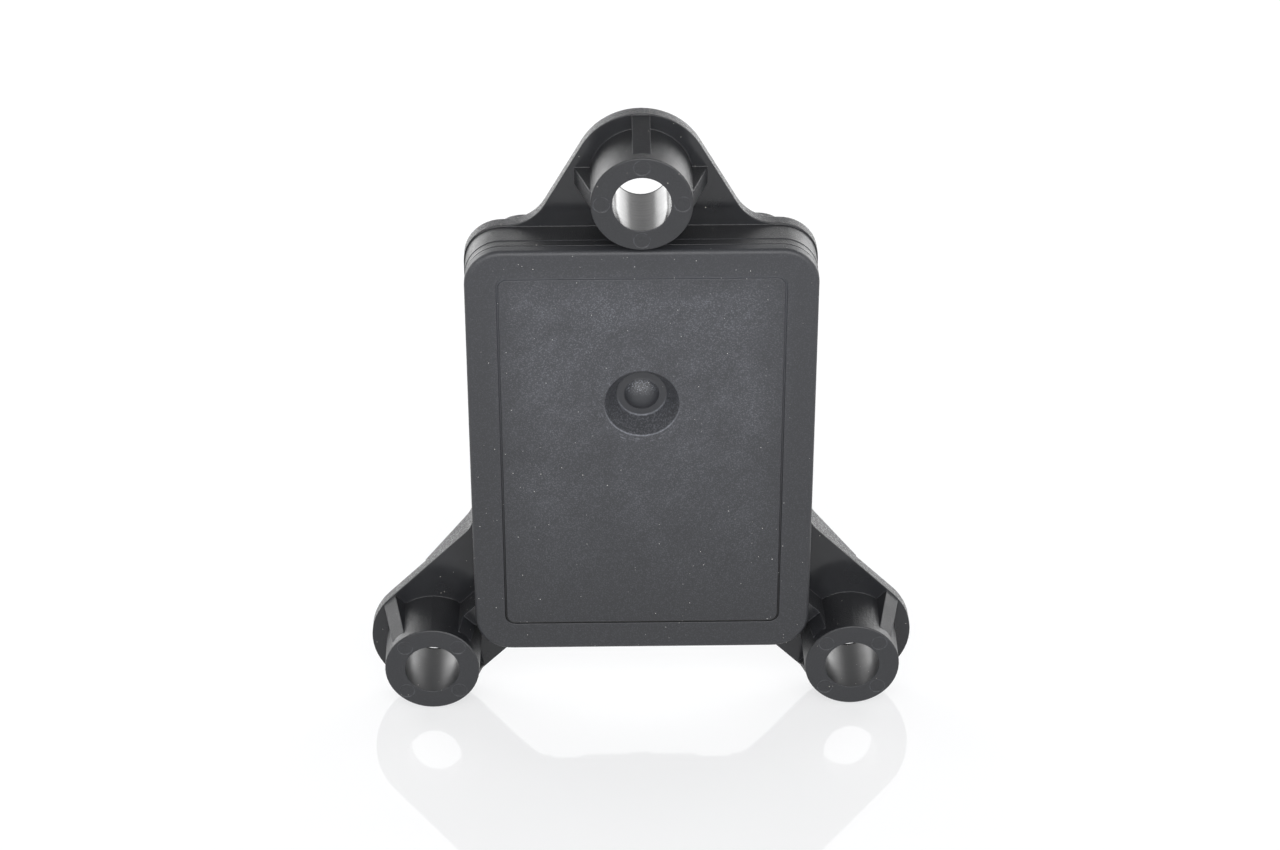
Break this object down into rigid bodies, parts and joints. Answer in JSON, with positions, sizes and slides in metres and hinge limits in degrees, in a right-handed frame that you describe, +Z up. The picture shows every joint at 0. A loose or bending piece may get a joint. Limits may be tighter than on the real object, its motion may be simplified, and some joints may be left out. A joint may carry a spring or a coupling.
{
  "type": "manifold absolute pressure sensor",
  "caption": "Flat moulded pressure sensor with bored mounting bosses on ears, a closed rear cover, a hose nipple and a keyed connector socket with blades.",
  "frame": {"origin": "centre of the top mounting bore, in the plane of the boss ends that meet the wall", "axes": "+Z up along the height, from the lower bores to the top bore; +Y away from the wall, the way the hose nipple and the connector socket point; +X across the width"},
  "size_m": [0.065, 0.0302, 0.077],
  "materials": {
    "housing_plastic": "moulded, fine texture",
    "cover_plastic": "moulded, smooth matt",
    "seal_rubber": "cured bead",
    "board_laminate": "glass laminate with mask",
    "cell_steel": "plated",
    "cell_glass": "milky glass",
    "silicon": "polished",
    "pin_metal": "tinned",
    "solder": "bright",
    "chip_plastic": "moulded",
    "capacitor_body": "fired ceramic",
    "resistor_body": "coated",
    "terminal_metal": "tinned"
  },
  "bodies": {
    "root": {"housing": "housing_plastic", "rear_cover": "cover_plastic", "cover_seal": "seal_rubber", "circuit_board": "board_laminate", "cell_header": "cell_steel", "cell_inlet_tube": "cell_steel", "cell_cap": "cell_steel", "glass_base": "cell_glass", "sensor_chip": "silicon", "cell_pins": "pin_metal", "cell_solder": "solder", "port_seal": "seal_rubber", "signal_chip": "chip_plastic", "signal_chip_leads": "pin_metal", "capacitor_supply": "capacitor_body", "capacitor_signal": "capacitor_body", "capacitor_filter": "capacitor_body", "trim_resistors": "resistor_body", "terminal_supply": "terminal_metal", "terminal_signal": "terminal_metal", "terminal_ground": "terminal_metal", "terminal_solder": "solder"}
  },
  "joints": []
}
